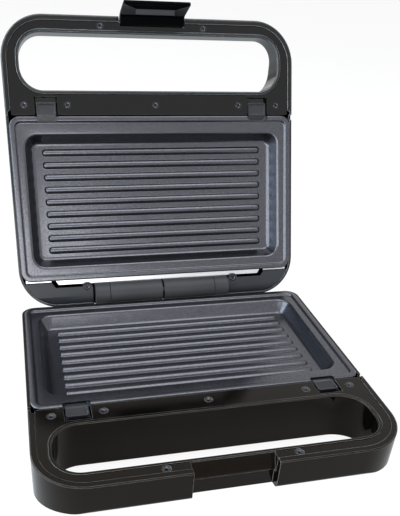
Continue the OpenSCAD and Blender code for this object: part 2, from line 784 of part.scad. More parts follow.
module thermal_fuse() color([0.75, 0.73, 0.65]) in_lid()
    translate([-20, heater_y, reflector_floor - reflector_t - 2.4]) rotate([0, 90, 0]) {
        cylinder(r = 2.4, h = 16);
        translate([0, 0, -8]) cylinder(r = 0.6, h = 32);
    }

module lamp(x) in_lid() translate([x, lamp_y, -lid_h - 0.8]) rotate_extrude()
    rounded([[0, 0], [lamp_r, 0], [lamp_r, 4], [0, 4]], [0, 0.8, 0, 0]);
module power_lamp() color([0.7, 0.08, 0.05]) lamp(-lamp_x);
module ready_lamp() color([0.1, 0.5, 0.15]) lamp(lamp_x);

base_shell();
base_frame();
base_frame_screws();
base_reflector();
base_heater();
base_grill_plate();
hinge_bracket();
hinge_screws();
hinge_pin();
base_bottom_screws();
rubber_feet();
cord_gland();
thermostat();
terminal_block();
base_clip_left();
base_clip_right();
base_spring_left();
base_spring_right();
lid_shell();
lid_frame();
lid_frame_screws();
lid_reflector();
lid_heater();
lid_grill_plate();
lid_rear_deck();
lid_deck_screws();
lid_knuckles();
power_lamp();
ready_lamp();
thermal_fuse();
latch_pin();
latch();
lid_clip_left();
lid_clip_right();
lid_spring_left();
lid_spring_right();
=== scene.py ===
import json
import math

import bmesh
import bpy
from mathutils import Matrix, Vector

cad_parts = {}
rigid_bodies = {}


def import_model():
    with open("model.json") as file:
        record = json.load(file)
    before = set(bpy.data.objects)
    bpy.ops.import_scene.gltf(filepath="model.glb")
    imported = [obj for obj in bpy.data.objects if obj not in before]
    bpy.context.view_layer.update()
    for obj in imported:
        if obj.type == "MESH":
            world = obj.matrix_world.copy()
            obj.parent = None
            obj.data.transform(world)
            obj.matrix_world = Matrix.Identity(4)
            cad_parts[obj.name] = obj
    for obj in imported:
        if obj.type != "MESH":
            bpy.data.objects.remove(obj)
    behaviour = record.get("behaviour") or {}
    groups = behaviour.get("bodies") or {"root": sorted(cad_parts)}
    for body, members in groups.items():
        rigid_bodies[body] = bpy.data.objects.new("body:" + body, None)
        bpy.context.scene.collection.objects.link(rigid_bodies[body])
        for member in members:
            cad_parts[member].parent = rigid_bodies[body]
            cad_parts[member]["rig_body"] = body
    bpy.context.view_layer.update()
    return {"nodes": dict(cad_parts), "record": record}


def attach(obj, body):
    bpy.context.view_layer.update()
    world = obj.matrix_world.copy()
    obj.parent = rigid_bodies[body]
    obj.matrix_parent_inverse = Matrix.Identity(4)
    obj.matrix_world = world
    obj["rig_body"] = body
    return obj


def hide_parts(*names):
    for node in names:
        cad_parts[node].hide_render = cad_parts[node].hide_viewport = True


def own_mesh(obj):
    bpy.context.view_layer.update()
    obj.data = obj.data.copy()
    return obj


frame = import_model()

cad = frame["nodes"]
scene = bpy.context.scene
toMetres = Matrix.Scale(0.001, 4)

# where the two halves lie, in metres; both are drawn in one plan:
# x right, y from the hinge axis towards the handle, z up from the plane where they meet
layout = {"hingeY": 0.0803712, "hingeZ": 0.055, "axisHeight": 0.0033, "openAngle": 111.2}
flipY = Matrix.Scale(-1, 4, (0, 1, 0))
flipZ = Matrix.Scale(-1, 4, (0, 0, 1))
basePlace = Matrix.Translation((0, layout["hingeY"], layout["hingeZ"] - layout["axisHeight"])) @ flipY
lidPlace = (Matrix.Translation((0, layout["hingeY"], layout["hingeZ"]))
            @ Matrix.Rotation(-math.radians(layout["openAngle"]), 4, "X")
            @ Matrix.Translation((0, 0, -layout["axisHeight"])) @ flipY @ flipZ)
places = {"base": basePlace, "lid": lidPlace}


# camera, lights, world and floor

cameraSettings = {
    "place": (-0.13334, -0.48670, 0.36882), "yaw": 15.383, "pitch": -32.408, "roll": 3.708,
    "lens": 44.227, "sensor": 36, "shiftX": 0.03848, "shiftY": 0.15037, "near": 0.01, "far": 50,
}


def makeCamera(s):
    yaw, pitch, roll = (math.radians(s[k]) for k in ("yaw", "pitch", "roll"))
    forward = Vector((math.sin(yaw) * math.cos(pitch), math.cos(yaw) * math.cos(pitch), math.sin(pitch)))
    level = Vector((math.cos(yaw), -math.sin(yaw), 0))
    above = level.cross(forward)
    right = math.cos(roll) * level + math.sin(roll) * above
    up = -math.sin(roll) * level + math.cos(roll) * above
    data = bpy.data.cameras.new("camera")
    data.lens = s["lens"]
    data.sensor_width = s["sensor"]
    data.shift_x = s["shiftX"]
    data.shift_y = s["shiftY"]
    data.clip_start = s["near"]
    data.clip_end = s["far"]
    camera = bpy.data.objects.new("camera", data)
    turn = Matrix((right, up, -forward)).transposed().to_4x4()
    camera.matrix_world = Matrix.Translation(s["place"]) @ turn
    scene.collection.objects.link(camera)
    scene.camera = camera


# broad, dim lamps don't burn out on the plates from any side
lightSettings = {
    "key": {"place": (-0.9, -1.8, 0.42), "aim": (0, 0.05, 0.14), "size": (2.4, 1.2),
            "power": 30, "colour": (1.0, 0.985, 0.96)},
    "left": {"place": (-1.45, 0.15, 0.72), "aim": (0, 0.05, 0.2), "size": (2.2, 1.9),
             "power": 44, "colour": (0.72, 0.88, 1.0)},
    "overhead": {"place": (0.2, -0.4, 1.95), "aim": (0.2, -0.35, 0.05), "size": (1.4, 1.8),
                 "power": 18, "colour": (1, 1, 1)},
    "rim": {"place": (1.5, 0.75, 0.22), "aim": (0.1, 0.1, 0.2), "size": (0.4, 0.4),
            "power": 1, "colour": (1, 0.98, 0.95)},
}


def makeLights(settings):
    for name, s in settings.items():
        data = bpy.data.lights.new(name, "AREA")
        data.shape = "RECTANGLE"
        data.size, data.size_y = s["size"]
        data.energy = s["power"]
        data.color = s["colour"]
        lamp = bpy.data.objects.new(name + "Light", data)
        lamp.location = s["place"]
        lamp.rotation_euler = (Vector(s["aim"]) - Vector(s["place"])).to_track_quat("-Z", "Y").to_euler()
        scene.collection.objects.link(lamp)


# fill falls on the surfaces; seen is what the camera, gloss and glass look at
worldSettings = {"fill": 0.16, "seen": 1}


def makeWorld(s):
    world = bpy.data.worlds.new("studio")
    scene.world = world
    world.use_nodes = True
    nodes, links = world.node_tree.nodes, world.node_tree.links
    nodes.clear()
    out = nodes.new("ShaderNodeOutputWorld")
    mix = nodes.new("ShaderNodeMixShader")
    path = nodes.new("ShaderNodeLightPath")
    direct = nodes.new("ShaderNodeMath")
    direct.operation = "MAXIMUM"
    seen = nodes.new("ShaderNodeMath")
    seen.operation = "MAXIMUM"
    links.new(path.outputs["Is Camera Ray"], direct.inputs[0])
    links.new(path.outputs["Is Glossy Ray"], direct.inputs[1])
    links.new(direct.outputs[0], seen.inputs[0])
    links.new(path.outputs["Is Transmission Ray"], seen.inputs[1])
    links.new(seen.outputs[0], mix.inputs[0])
    for slot, level in ((1, s["fill"]), (2, s["seen"])):
        white = nodes.new("ShaderNodeBackground")
        white.inputs["Color"].default_value = (1, 1, 1, 1)
        white.inputs["Strength"].default_value = level
        links.new(white.outputs[0], mix.inputs[slot])
    links.new(mix.outputs[0], out.inputs[0])


floorSettings = {
    "reach": 30, "drop": 0.0002, "colour": (0.86, 0.86, 0.86),
    "glow": 1.15, "cameraShare": 0.8, "glossShare": 0.2,    # the rest is the matte floor with its shadow
}


def makeFloor(s):
    shape = bmesh.new()
    bmesh.ops.create_grid(shape, x_segments=1, y_segments=1, size=s["reach"])
    bmesh.ops.translate(shape, verts=shape.verts, vec=(0, 0, -s["drop"]))
    floor = bpy.data.objects.new("floor", bpy.data.meshes.new("floor"))
    shape.to_mesh(floor.data)
    shape.free()
    material = bpy.data.materials.new("paleFloor")
    material.use_nodes = True
    nodes, links = material.node_tree.nodes, material.node_tree.links
    nodes.clear()
    out = nodes.new("ShaderNodeOutputMaterial")
    mix = nodes.new("ShaderNodeMixShader")
    matte = nodes.new("ShaderNodeBsdfDiffuse")
    matte.inputs["Color"].default_value = (*s["colour"], 1)
    glow = nodes.new("ShaderNodeEmission")
    glow.inputs["Strength"].default_value = s["glow"]
    path = nodes.new("ShaderNodeLightPath")
    inGloss = nodes.new("ShaderNodeMath")
    inGloss.operation = "MULTIPLY"
    inGloss.inputs[1].default_value = s["glossShare"]
    share = nodes.new("ShaderNodeMath")
    share.operation = "MULTIPLY_ADD"
    share.inputs[1].default_value = s["cameraShare"]
    links.new(path.outputs["Is Glossy Ray"], inGloss.inputs[0])
    links.new(path.outputs["Is Camera Ray"], share.inputs[0])
    links.new(inGloss.outputs[0], share.inputs[2])
    links.new(share.outputs[0], mix.inputs[0])
    links.new(matte.outputs[0], mix.inputs[1])
    links.new(glow.outputs[0], mix.inputs[2])
    links.new(mix.outputs[0], out.inputs[0])
    floor.data.materials.append(material)
    scene.collection.objects.link(floor)


scene.view_settings.view_transform = "Standard"
makeCamera(cameraSettings)
makeLights(lightSettings)
makeWorld(worldSettings)
makeFloor(floorSettings)
print("camera, lights, world and floor made")


# building blocks of the finishes

def newMaterial(slotName, s):
    first, *others = slotName.split("_")
    material = bpy.data.materials.new(first + "".join(word.capitalize() for word in others))
    material.use_nodes = True
    shader = material.node_tree.nodes["Principled BSDF"]
    shader.inputs["Base Color"].default_value = (*s["colour"], 1)
    shader.inputs["Roughness"].default_value = s["rough"]
    shader.inputs["Metallic"].default_value = s["metal"]
    shader.inputs["Specular IOR Level"].default_value = s["specular"]
    return material, shader


def objectPoint(material, stretch=(1, 1, 1)):
    nodes, links = material.node_tree.nodes, material.node_tree.links
    place = nodes.new("ShaderNodeTexCoord")
    mapping = nodes.new("ShaderNodeMapping")
    mapping.inputs["Scale"].default_value = stretch
    links.new(place.outputs["Object"], mapping.inputs["Vector"])
    return mapping.outputs["Vector"]


def addNoise(material, point, scale, detail, rough=0.5):
    cloud = material.node_tree.nodes.new("ShaderNodeTexNoise")
    cloud.inputs["Scale"].default_value = scale
    cloud.inputs["Detail"].default_value = detail
    cloud.inputs["Roughness"].default_value = rough
    material.node_tree.links.new(point, cloud.inputs["Vector"])
    return cloud.outputs["Fac"]


def addRange(material, value, low, high, fromLow=0.3, fromHigh=0.7):
    # a noise lies mostly between 0.3 and 0.7
    spread = material.node_tree.nodes.new("ShaderNodeMapRange")
    for key, number in (("From Min", fromLow), ("From Max", fromHigh), ("To Min", low), ("To Max", high)):
        spread.inputs[key].default_value = number
    material.node_tree.links.new(value, spread.inputs["Value"])
    return spread.outputs["Result"]


def addBlend(material, share, first, second):
    mix = material.node_tree.nodes.new("ShaderNodeMix")
    mix.data_type = "RGBA"
    mix.inputs["A"].default_value = (*first, 1)
    mix.inputs["B"].default_value = (*second, 1)
    material.node_tree.links.new(share, mix.inputs["Factor"])
    return mix.outputs["Result"]


def addOver(material, share, below, colour):
    mix = material.node_tree.nodes.new("ShaderNodeMix")
    mix.data_type = "RGBA"
    mix.inputs["B"].default_value = (*colour, 1)
    material.node_tree.links.new(share, mix.inputs["Factor"])
    material.node_tree.links.new(below, mix.inputs["A"])
    return mix.outputs["Result"]


def addSoftEdge(material, radius, samples=4):
    edge = material.node_tree.nodes.new("ShaderNodeBevel")
    edge.inputs["Radius"].default_value = radius
    edge.samples = samples
    return edge.outputs["Normal"]


def addPaintedEdgeHighlight(material, below, colour, width):
    # a painted highlight line along each edge: a lighter colour where the softened normal leaves the face's
    # own
    nodes, links = material.node_tree.nodes, material.node_tree.links
    flat = nodes.new("ShaderNodeNewGeometry")
    agree = nodes.new("ShaderNodeVectorMath")
    agree.operation = "DOT_PRODUCT"
    links.new(addSoftEdge(material, width), agree.inputs[0])
    links.new(flat.outputs["Normal"], agree.inputs[1])
    share = addRange(material, agree.outputs["Value"], 0, 1, fromLow=0.97, fromHigh=0.8)
    return addOver(material, share, below, colour)


def addBump(material, height, strength, distance, soft):
    bump = material.node_tree.nodes.new("ShaderNodeBump")
    bump.inputs["Strength"].default_value = strength
    bump.inputs["Distance"].default_value = distance
    material.node_tree.links.new(height, bump.inputs["Height"])
    if soft:
        material.node_tree.links.new(addSoftEdge(material, soft), bump.inputs["Normal"])
    return bump.outputs["Normal"]


# moulded plastics and rubbers: smudge and grain are the scales of the handling marks and of the skin,
# spread is how far the roughness strays, soft rounds the shading at edges and edge colours a painted
# highlight line there

plasticDefaults = {
    "metal": 0, "specular": 0.5, "tint": (1, 1, 1), "coat": 0, "coatRough": 0.05, "spread": 0.06,
    "smudge": 28, "bump": 0.35, "soft": 0.0004, "edge": None,
}
plasticSettings = {
    # each edge colour below is a painted highlight line, not the plastic's own colour
    "gloss_black": {
        "colour": (0.0024, 0.0023, 0.0024), "darker": (0.0017, 0.0016, 0.0017), "rough": 0.1, "spread": 0.03,
        "specular": 0.42, "grain": 260, "depth": 0.00002, "soft": 0.0026,
        "edge": (0.5, 0.55, 0.6), "edgeHighlightWide": 0.001,
    },
    # the warm tint and brownish black of these two are a painted reflection of a warm surrounding
    "warm_gloss": {
        "colour": (0.0018, 0.0015, 0.0013), "darker": (0.0012, 0.001, 0.0009), "rough": 0.08, "spread": 0.03,
        "specular": 0.2, "tint": (1, 0.84, 0.7), "grain": 260, "depth": 0.00002, "soft": 0.0009,
        "edge": (0.42, 0.41, 0.4), "edgeHighlightWide": 0.0006,
    },
    "satin_black": {
        "colour": (0.0034, 0.0033, 0.0034), "darker": (0.0024, 0.0023, 0.0024), "rough": 0.14, "spread": 0.03,
        "specular": 0.32, "grain": 2600, "depth": 0.00002, "soft": 0.00015,
        "edge": (0.1, 0.1, 0.1), "edgeHighlightWide": 0.0003,
    },
    "warm_satin": {
        "colour": (0.0015, 0.0013, 0.0012), "darker": (0.001, 0.0009, 0.0008), "rough": 0.09, "spread": 0.03,
        "specular": 0.2, "tint": (1, 0.84, 0.7), "grain": 2600, "depth": 0.00002, "soft": 0.0003,
        "edge": (0.42, 0.41, 0.4), "edgeHighlightWide": 0.00042,
    },
    "clip_grey": {
        "colour": (0.024, 0.0255, 0.031), "darker": (0.012, 0.013, 0.017), "rough": 0.26,
        "specular": 0.4, "grain": 1500, "depth": 0.0002, "soft": 0.0002,
        "edge": (0.2, 0.215, 0.24), "edgeHighlightWide": 0.0005,
    },
    "hinge_grey": {"colour": (0.062, 0.064, 0.069), "darker": (0.048, 0.05, 0.054), "rough": 0.4,
                   "specular": 0.2, "grain": 2200, "depth": 0.0001},
    "deck_grey": {"colour": (0.026, 0.03, 0.037), "darker": (0.02, 0.023, 0.029), "rough": 0.46,
                  "specular": 0.4, "grain": 2200, "depth": 0.0001},
    "latch_black": {"colour": (0.0022, 0.0025, 0.0031), "darker": (0.0016, 0.0019, 0.0024), "rough": 0.2,
                    "specular": 0.012, "grain": 900, "depth": 0.00003},
    # painted light: the tooth's face is coloured lighter than the latch where light falls on it
    "latch_grip": {"colour": (0.046, 0.047, 0.052), "darker": (0.034, 0.035, 0.039), "rough": 0.35,
                   "specular": 0.4, "grain": 900, "depth": 0.00005},
    "foot_rubber": {"colour": (0.022, 0.022, 0.022), "darker": (0.016, 0.016, 0.016), "rough": 0.75,
                    "grain": 1500, "depth": 0.0001},
    "gland_rubber": {"colour": (0.02, 0.02, 0.02), "darker": (0.015, 0.015, 0.015), "rough": 0.6,
                     "grain": 1500, "depth": 0.0001},
    "lamp_red": {"colour": (0.4, 0.012, 0.01), "darker": (0.3, 0.008, 0.006), "rough": 0.15, "coat": 0.5,
                 "grain": 300, "depth": 0.00002},
    "lamp_green": {"colour": (0.015, 0.22, 0.04), "darker": (0.01, 0.16, 0.03), "rough": 0.15, "coat": 0.5,
                   "grain": 300, "depth": 0.00002},
    "ceramic": {"colour": (0.7, 0.68, 0.62), "darker": (0.6, 0.58, 0.52), "rough": 0.5,
                "grain": 1200, "depth": 0.00006},
}


def plasticFinish(slotName, changes):
    s = {**plasticDefaults, **changes}
    material, shader = newMaterial(slotName, s)
    shader.inputs["Specular Tint"].default_value = (*s["tint"], 1)
    shader.inputs["Coat Weight"].default_value = s["coat"]
    shader.inputs["Coat Roughness"].default_value = s["coatRough"]
    links = material.node_tree.links
    point = objectPoint(material)
    smudge = addNoise(material, point, s["smudge"], detail=4)
    shade = addBlend(material, addRange(material, smudge, 0, 1), s["darker"], s["colour"])
    # the edge colour is a painted highlight along every sharp edge
    if s["edge"]:
        shade = addPaintedEdgeHighlight(material, shade, s["edge"], s["edgeHighlightWide"])
    links.new(shade, shader.inputs["Base Color"])
    worn = addRange(material, smudge, s["rough"] - s["spread"], s["rough"] + s["spread"])
    links.new(worn, shader.inputs["Roughness"])
    skin = addNoise(material, point, s["grain"], detail=2)
    links.new(addBump(material, skin, s["bump"], s["depth"], s["soft"]), shader.inputs["Normal"])
    return material


# metals: the noise is stretched where they are drawn or brushed, and streak is its scale

metalDefaults = {
    "metal": 1, "specular": 0.5, "stretch": (1, 1, 1), "smoother": 0.08, "rougher": 0.1,
    "bump": 0.3, "depth": 0.00002, "soft": 0.0004,
}
metalSettings = {
    "bright_aluminium": {"colour": (0.76, 0.77, 0.79), "darker": (0.56, 0.58, 0.61), "rough": 0.3,
                         "stretch": (1, 60, 60), "streak": 30, "depth": 0.00003},
    "element_steel": {"colour": (0.3, 0.28, 0.25), "darker": (0.2, 0.18, 0.16), "rough": 0.5,
                      "streak": 300, "depth": 0.00005},
    "dark_screw_steel": {"colour": (0.105, 0.11, 0.125), "darker": (0.06, 0.063, 0.075), "rough": 0.2,
                         "streak": 700},
    "pin_steel": {"colour": (0.6, 0.6, 0.62), "darker": (0.45, 0.45, 0.47), "rough": 0.3,
                  "stretch": (0.1, 1, 1), "streak": 900},
    "spring_steel": {"colour": (0.65, 0.65, 0.66), "darker": (0.5, 0.5, 0.52), "rough": 0.3, "streak": 800},
}


def metalFinish(slotName, changes):
    s = {**metalDefaults, **changes}
    material, shader = newMaterial(slotName, s)
    links = material.node_tree.links
    lines = addNoise(material, objectPoint(material, s["stretch"]), s["streak"], detail=3, rough=0.6)
    shade = addBlend(material, addRange(material, lines, 0, 1), s["darker"], s["colour"])
    links.new(shade, shader.inputs["Base Color"])
    worn = addRange(material, lines, s["rough"] - s["smoother"], s["rough"] + s["rougher"])
    links.new(worn, shader.inputs["Roughness"])
    links.new(addBump(material, lines, s["bump"], s["depth"], s["soft"]), shader.inputs["Normal"])
    return material


# the plates' non-stick coating: dark, finely speckled, with small pale flecks

coatingSettings = {
    "colour": (0.124, 0.128, 0.146), "darker": (0.068, 0.0705, 0.082),
    "speckle": 1400, "speckleLow": 0.38, "speckleHigh": 0.62,
    "fleck": (0.5, 0.5, 0.56), "flecks": 900, "fleckShare": 0.35, "fleckCore": 0.06, "fleckRim": 0.2,
    "metal": 0.95, "specular": 0.5, "rough": 0.22, "spread": 0.03, "cloud": 40,
    "grain": 2600, "bump": 0.09, "depth": 0.00006,
}


def coatingFinish(slotName, s):
    material, shader = newMaterial(slotName, s)
    nodes, links = material.node_tree.nodes, material.node_tree.links
    point = objectPoint(material)
    speckle = addNoise(material, point, s["speckle"], detail=2, rough=0.6)
    mottle = addRange(material, speckle, 0, 1, s["speckleLow"], s["speckleHigh"])
    shade = addBlend(material, mottle, s["darker"], s["colour"])
    cells = nodes.new("ShaderNodeTexVoronoi")
    cells.inputs["Scale"].default_value = s["flecks"]
    links.new(point, cells.inputs["Vector"])
    fleck = addRange(material, cells.outputs["Distance"], s["fleckShare"], 0, s["fleckCore"], s["fleckRim"])
    links.new(addOver(material, fleck, shade, s["fleck"]), shader.inputs["Base Color"])
    cloud = addNoise(material, point, s["cloud"], detail=3)
    worn = addRange(material, cloud, s["rough"] - s["spread"], s["rough"] + s["spread"])
    links.new(worn, shader.inputs["Roughness"])
    grain = addNoise(material, point, s["grain"], detail=1)
    links.new(addBump(material, grain, s["bump"], s["depth"], soft=0), shader.inputs["Normal"])
    return material


finishes = {slotName: plasticFinish(slotName, s) for slotName, s in plasticSettings.items()}
finishes.update({slotName: metalFinish(slotName, s) for slotName, s in metalSettings.items()})
finishes["plate_coating"] = coatingFinish("plate_coating", coatingSettings)

slotOf = {row["node"]: row["material_slot"] for row in frame["record"]["subparts"]}
paintedWarmReflection = {"base_shell": "warm_gloss", "base_frame": "warm_satin"}    # the base's plastics get a warm tint and brownish black, a painted warm reflection
for name, node in cad.items():
    node.data.materials.clear()
    node.data.materials.append(finishes[paintedWarmReflection.get(name, slotOf[name])])
print("finishes made:", len(finishes))


# pieces with rounded edges, made from copies of the solids

def linkPiece(name, mesh, body, slotName, replaced):
    piece = bpy.data.objects.new(name, mesh)
    scene.collection.objects.link(piece)
    mesh.materials.clear()
    mesh.materials.append(finishes[slotName])
    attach(piece, body)
    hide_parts(replaced)
    return piece


edgeSettings = {"segments": 2, "sharpAngle": 35, "shadeWeight": 50, "mergeWithin": 1e-6, "flatAngle": 0.3}
edgeWidths = {
    "latchTab": ("latch", 0.0005), "hingeBarrel": ("hinge_bracket", 0.0004),
    "hingeKnuckles": ("lid_knuckles", 0.0004), "rearDeck": ("lid_rear_deck", 0.0003),
    "baseClipLeft": ("base_clip_left", 0.0002), "baseClipRight": ("base_clip_right", 0.0002),
    "lidClipLeft": ("lid_clip_left", 0.0002), "lidClipRight": ("lid_clip_right", 0.0002),
}


def roundedNode(name, nodeName, width, s):
    shape = bmesh.new()
    shape.from_mesh(cad[nodeName].data)
    bmesh.ops.remove_doubles(shape, verts=shape.verts, dist=s["mergeWithin"])
    bmesh.ops.dissolve_limit(shape, angle_limit=math.radians(s["flatAngle"]), verts=shape.verts,
                             edges=shape.edges, use_dissolve_boundaries=False, delimit=set())
    for face in shape.faces:
        face.smooth = True
    mesh = bpy.data.meshes.new(name)
    shape.to_mesh(mesh)
    shape.free()
    piece = linkPiece(name, mesh, cad[nodeName]["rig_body"], slotOf[nodeName], nodeName)
    bevel = piece.modifiers.new("edges", "BEVEL")
    bevel.width = width
    bevel.segments = s["segments"]
    bevel.limit_method = "ANGLE"
    bevel.angle_limit = math.radians(s["sharpAngle"])
    bevel.miter_outer = "MITER_SHARP"
    bevel.use_clamp_overlap = False
    bevel.harden_normals = False
    shading = piece.modifiers.new("shading", "WEIGHTED_NORMAL")
    shading.weight = s["shadeWeight"]
    return piece


# the duller face on the latch's tooth, coloured lighter as painted light where light falls on it; in
# millimetres in the lid's plan
paintedLitFaceSettings = {"half": 18.6, "near": 258.4, "far": 263.3, "low": 14.2, "high": 17.7}


def addPaintedLitFace(piece, s):
    piece.data.materials.append(finishes["latch_grip"])
    home = (lidPlace @ toMetres).inverted()
    for face in piece.data.polygons:
        spot = home @ face.center
        if abs(spot.x) < s["half"] and s["near"] < spot.y < s["far"] and s["low"] < spot.z < s["high"]:
            face.material_index = 1


rounded = {name: roundedNode(name, *source, edgeSettings) for name, source in edgeWidths.items()}
addPaintedLitFace(rounded["latchTab"], paintedLitFaceSettings)
print("rounded pieces made:", len(rounded))


# outlines, rings and cuts, drawn in the plan of a half in millimetres

def cornerArc(centre, radius, start, steps):
    return [(centre[0] + radius * math.cos(a), centre[1] + radius * math.sin(a))
            for a in (math.radians(start + 90 * i / steps) for i in range(steps + 1))]


def roundedOutline(half, rear, front, radius, stops, steps=8):
    # the front and rear edges have points at the stops, drawn in where a corner comes nearer than the gap
    gap = 1
    reach = half - radius
    if stops[-1] > reach - gap:
        stops = [x * (reach - gap) / stops[-1] for x in stops]
    across = [-x for x in reversed(stops)] + stops
    points = cornerArc((reach, rear + radius), radius, -90, steps)
    points += cornerArc((reach, front - radius), radius, 0, steps)
    points += [(x, front) for x in reversed(across)]
    points += cornerArc((-reach, front - radius), radius, 90, steps)
    points += cornerArc((-reach, rear + radius), radius, 180, steps)
    points += [(x, rear) for x in across]
    return points


def startRing(shape, points, depth):
    ring = [shape.verts.new((x, y, depth)) for x, y in points]
    for i, vert in enumerate(ring):
        shape.edges.new((ring[i - 1], vert))
    return ring


def ringEdges(shape, ring):
    return [shape.edges.get((ring[i - 1], ring[i])) for i in range(len(ring))]


def growRing(shape, ring, points, depth):
    grown = bmesh.ops.extrude_edge_only(shape, edges=ringEdges(shape, ring))["geom"]
    fresh = {v for v in grown if isinstance(v, bmesh.types.BMVert)}
    after = []
    for vert, (x, y) in zip(ring, points):
        above = next(e.other_vert(vert) for e in vert.link_edges if e.other_vert(vert) in fresh)
        above.co = (x, y, depth)
        after.append(above)
    return after


def cleanShape(shape, mergeWithin=1e-4):
    bmesh.ops.remove_doubles(shape, verts=shape.verts, dist=mergeWithin)
    bmesh.ops.recalc_face_normals(shape, faces=shape.faces)


def cutAway(shape, cutters):
    # takes closed cutters out of a closed shape, with a Boolean modifier on a temporary object
    whole = bpy.data.objects.new("whole", bpy.data.meshes.new("whole"))
    shape.to_mesh(whole.data)
    scene.collection.objects.link(whole)
    for cutter in cutters:
        bmesh.ops.recalc_face_normals(cutter, faces=cutter.faces)
        tool = bpy.data.objects.new("cutter", bpy.data.meshes.new("cutter"))
        cutter.to_mesh(tool.data)
        cutter.free()
        scene.collection.objects.link(tool)
        cut = whole.modifiers.new("cut", "BOOLEAN")
        cut.solver = "EXACT"
        cut.operation = "DIFFERENCE"
        cut.object = tool
        result = bpy.data.meshes.new_from_object(whole.evaluated_get(bpy.context.evaluated_depsgraph_get()))
        whole.modifiers.remove(cut)
        bpy.data.objects.remove(tool)
        before, whole.data = whole.data, result
        bpy.data.meshes.remove(before)
    shape.clear()
    shape.from_mesh(whole.data)
    last = whole.data
    bpy.data.objects.remove(whole)
    bpy.data.meshes.remove(last)


def markSharp(shape, angle=38):
    for edge in shape.edges:
        edge.smooth = edge.calc_face_angle(0) < math.radians(angle)


def finishPiece(name, shape, place, body, slotName, replaced):
    shape.transform(place @ toMetres)
    bmesh.ops.recalc_face_normals(shape, faces=shape.faces)
    for face in shape.faces:
        face.smooth = True
    mesh = bpy.data.meshes.new(name)
    shape.to_mesh(mesh)
    shape.free()
    return linkPiece(name, mesh, body, slotName, replaced)


# grill plates

plateSettings = {
    "half": 140.5, "rear": 15.2, "front": 171.5, "corner": 9.5, "cornerShrink": 0.8, "leastCorner": 4.5,
    "top": -0.3, "thick": 2.4, "borderDepth": 2.1,
    "trayHalf": 128, "trayRear": 28.5, "trayFront": 155, "trayCorner": 12.5, "leastTrayCorner": 3.2,
    "trayDepth": 14.2, "wallInset": 7.1,
    "stops": [20, 50, 80, 93.9, 96.7, 105.2, 113.7, 116.5, 124],
    # the outer edge: a small step in at the foot, as inset and height, then a round lip
    "skirt": [(1.0, 0), (0.25, 0.3)], "lipRound": 1.3, "lipSteps": 4,
    # from the lip's top down to the border, as inset and fall, then on to the flat border
    "lipEnd": 4.5, "lipFall": [(-0.4, 0), (0, 0.06), (0.35, 0.3), (0.8, 1.116), (1.15, 1.584)],
    "borderStart": [1.7, 2.2],
    # over the tray's edge, as inset and fall, down the wall, and out on the floor, as inset and height
    "trayEdge": [(-1.6, 0), (-0.7, 0.1), (0.1, 0.42), (0.75, 1.0)],
    "wallFromEdge": [2.2], "wallFromFloor": [3.4, 2.2],
    "trayFoot": [(-0.45, 1.15), (0.35, 0.42), (1.3, 0.08), (2.4, 0)],
    # the pan underneath
    "panEdge": 6.2, "panInset": 2.2, "panFoot": 1.4, "panRise": 0.8,
    "ribs": 9, "ribPitch": 11.8, "ribLength": 224, "ribRadius": 3.6, "ribRise": 2.5, "ribFoot": 0.4,
    # rows of points to each side of a rib, and columns from the rib's end to the middle
    "ribRows": [0, 0.7, 1.35, 1.95, 2.45, 2.8, 3.05, 3.25, 3.42, 3.6, 3.95, 4.7, 5.9],
    "ribColumns": [112.8, 112.2, 111.85, 111.6, 111.3, 110.8, 110.2, 109.5, 108.9, 108.4, 100, 75, 50, 25],
    # room for the release clips in the front lip
    "notchAt": 105.2, "notchFloor": -3.1, "notchHigh": 8,
    "notch": [(-11, 176), (-11, 168.9), (-8.5, 166.4), (8.5, 166.4), (11, 168.9), (11, 176)],
}


def plateLoops(s):
    # each loop: what it is inset from, the inset and the depth
    rim, edge, deep = -s["borderDepth"] - s["thick"], -s["borderDepth"], -s["trayDepth"]
    lip = s["lipRound"]
    quarter = [math.radians(90 * i / s["lipSteps"]) for i in range(s["lipSteps"] + 1)]
    slope = s["wallInset"] / (s["trayDepth"] - s["borderDepth"])
    wall = [edge - fall for fall in s["wallFromEdge"]] + [deep + rise for rise in s["wallFromFloor"]]
    loops = [("outer", inset, rim + rise) for inset, rise in s["skirt"]]
    loops += [("outer", lip * (1 - math.cos(a)), s["top"] - lip + lip * math.sin(a)) for a in quarter]
    loops += [("outer", s["lipEnd"] + inset, s["top"] - fall) for inset, fall in s["lipFall"]]
    loops += [("outer", s["lipEnd"] + inset, edge) for inset in s["borderStart"]]
    loops += [("tray", inset, edge - fall) for inset, fall in s["trayEdge"]]
    loops += [("tray", (edge - z) * slope, z) for z in wall]
    loops += [("tray", s["wallInset"] + inset, deep + rise) for inset, rise in s["trayFoot"]]
    return loops


def panLoops(s):
    rim, floor = -s["borderDepth"] - s["thick"], -s["trayDepth"] - s["thick"]
    return [("outer", s["panEdge"], rim), ("tray", -s["panInset"], rim),
            ("tray", s["wallInset"] - s["panInset"], floor + s["panRise"]),
            ("tray", s["wallInset"] - s["panFoot"], floor)]


def loopPoints(s, kind, inset):
    if kind == "outer":
        corner = max(s["corner"] - s["cornerShrink"] * inset, s["leastCorner"])
        half, rear, front = s["half"], s["rear"], s["front"]
    else:
        corner = max(s["trayCorner"] - inset, s["leastTrayCorner"])
        half, rear, front = s["trayHalf"], s["trayRear"], s["trayFront"]
    return roundedOutline(half - inset, rear + inset, front - inset, corner, s["stops"])


def ribHeight(s, x, y):
    middle = (s["trayRear"] + s["trayFront"]) / 2
    step = round((y - middle) / s["ribPitch"])
    step = max(-(s["ribs"] // 2), min(s["ribs"] // 2, step))
    radius, foot = s["ribRadius"], s["ribFoot"]
    along = max(abs(x) - (s["ribLength"] / 2 - radius), 0)
    away = math.hypot(along, y - middle - step * s["ribPitch"])
    if away >= radius:
        return 0
    rise = math.sqrt(radius * radius - away * away) - (radius - s["ribRise"])
    if rise > foot:
        return rise
    if rise < -foot:
        return 0
    return (rise + foot) ** 2 / (4 * foot)    # a hollow foot joins the rib to the floor


